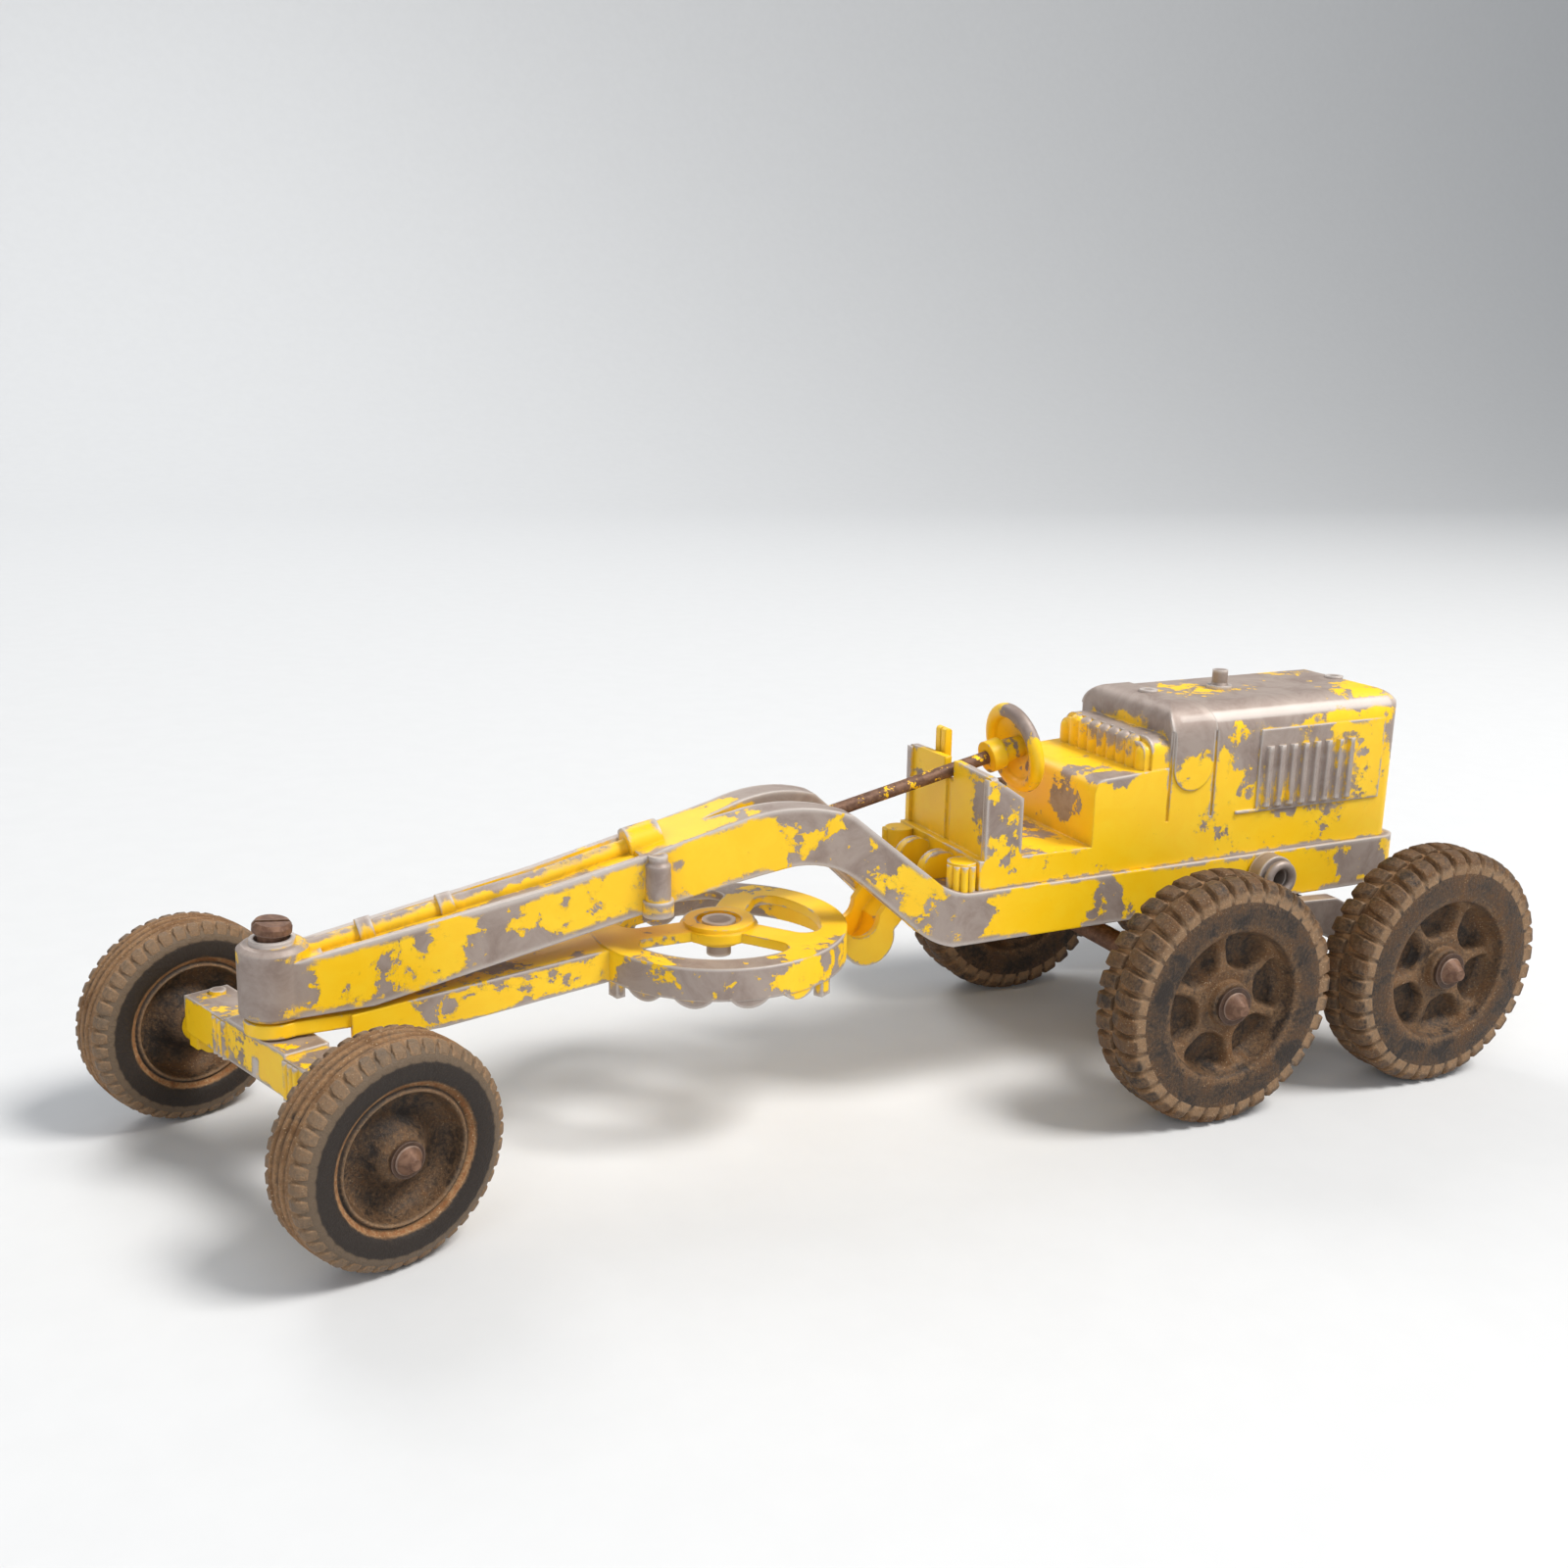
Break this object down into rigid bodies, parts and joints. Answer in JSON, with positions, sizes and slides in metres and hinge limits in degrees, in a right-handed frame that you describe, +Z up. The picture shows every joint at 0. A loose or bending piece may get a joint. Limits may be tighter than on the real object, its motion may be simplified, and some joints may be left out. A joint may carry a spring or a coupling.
{
  "type": "toy road grader",
  "caption": "Die-cast toy road grader with a gooseneck frame, blade circle without a blade, steerable front axle and rocking tandem bogie, in worn yellow paint.",
  "frame": {"origin": "on the ground under the middle of the bounding box", "axes": "+X towards the steered front wheels, +Y to the grader's left, +Z up"},
  "size_m": [0.288, 0.095, 0.083],
  "materials": {
    "yellow_paint": "golden yellow enamel, chipped to bare metal",
    "bare_zinc": "dull oxidised casting",
    "rusty_steel": "brown surface rust",
    "rubber": "aged solid rubber with dried dust"
  },
  "bodies": {
    "chassis": {"main_frame": "yellow_paint", "upper_body": "yellow_paint", "body_rivets": "bare_zinc", "exhaust_stub": "bare_zinc", "kingpin_screw": "rusty_steel", "kingpin_collar": "rusty_steel", "drawbar_circle": "yellow_paint", "blade_pivot_rivet": "bare_zinc", "tail_rivet": "bare_zinc", "bogie_pivot_tube": "bare_zinc"},
    "steering": {"steering_rod": "rusty_steel", "steering_wheel": "yellow_paint"},
    "front_axle": {"front_axle_beam": "yellow_paint", "front_axle_rod": "rusty_steel", "front_washers": "rusty_steel"},
    "front_left": {"front_wheel_left": "rubber"},
    "front_right": {"front_wheel_right": "rubber"},
    "bogie": {"bogie_frame": "bare_zinc", "rear_axle_front": "rusty_steel", "rear_axle_back": "rusty_steel", "rear_washers": "rusty_steel"},
    "rear_front_left": {"rear_wheel_front_left": "rubber"},
    "rear_front_right": {"rear_wheel_front_right": "rubber"},
    "rear_back_left": {"rear_wheel_back_left": "rubber"},
    "rear_back_right": {"rear_wheel_back_right": "rubber"}
  },
  "joints": [
    {"name": "front_steer", "type": "hinge", "parent": "chassis", "child": "front_axle", "pos_m": [0.1121, 0, 0.024], "axis": [0, 0, 1], "range_deg": [-55.2, 14.8]},
    {"name": "front_left_spin", "type": "hinge", "parent": "front_axle", "child": "front_left", "pos_m": [0.09964, 0.03388, 0.0196], "axis": [-0.3453, 0.9385, 0], "continuous": true},
    {"name": "front_right_spin", "type": "hinge", "parent": "front_axle", "child": "front_right", "pos_m": [0.12456, -0.03388, 0.0196], "axis": [-0.3453, 0.9385, 0], "continuous": true},
    {"name": "bogie_rock", "type": "hinge", "parent": "chassis", "child": "bogie", "pos_m": [-0.0902, 0, 0.0418], "axis": [0, 1, 0], "range_deg": [-10, 10]},
    {"name": "steering_wheel_spin", "type": "hinge", "parent": "chassis", "child": "steering", "pos_m": [0.00298, 0, 0.05937], "axis": [-0.9713, 0, 0.2379], "continuous": true},
    {"name": "rear_front_left_spin", "type": "hinge", "parent": "bogie", "child": "rear_front_left", "pos_m": [-0.0618, 0.0385, 0.0254], "axis": [0, 1, 0], "continuous": true},
    {"name": "rear_front_right_spin", "type": "hinge", "parent": "bogie", "child": "rear_front_right", "pos_m": [-0.0618, -0.0385, 0.0254], "axis": [0, 1, 0], "continuous": true},
    {"name": "rear_back_left_spin", "type": "hinge", "parent": "bogie", "child": "rear_back_left", "pos_m": [-0.1186, 0.0385, 0.0254], "axis": [0, 1, 0], "continuous": true},
    {"name": "rear_back_right_spin", "type": "hinge", "parent": "bogie", "child": "rear_back_right", "pos_m": [-0.1186, -0.0385, 0.0254], "axis": [0, 1, 0], "continuous": true}
  ]
}
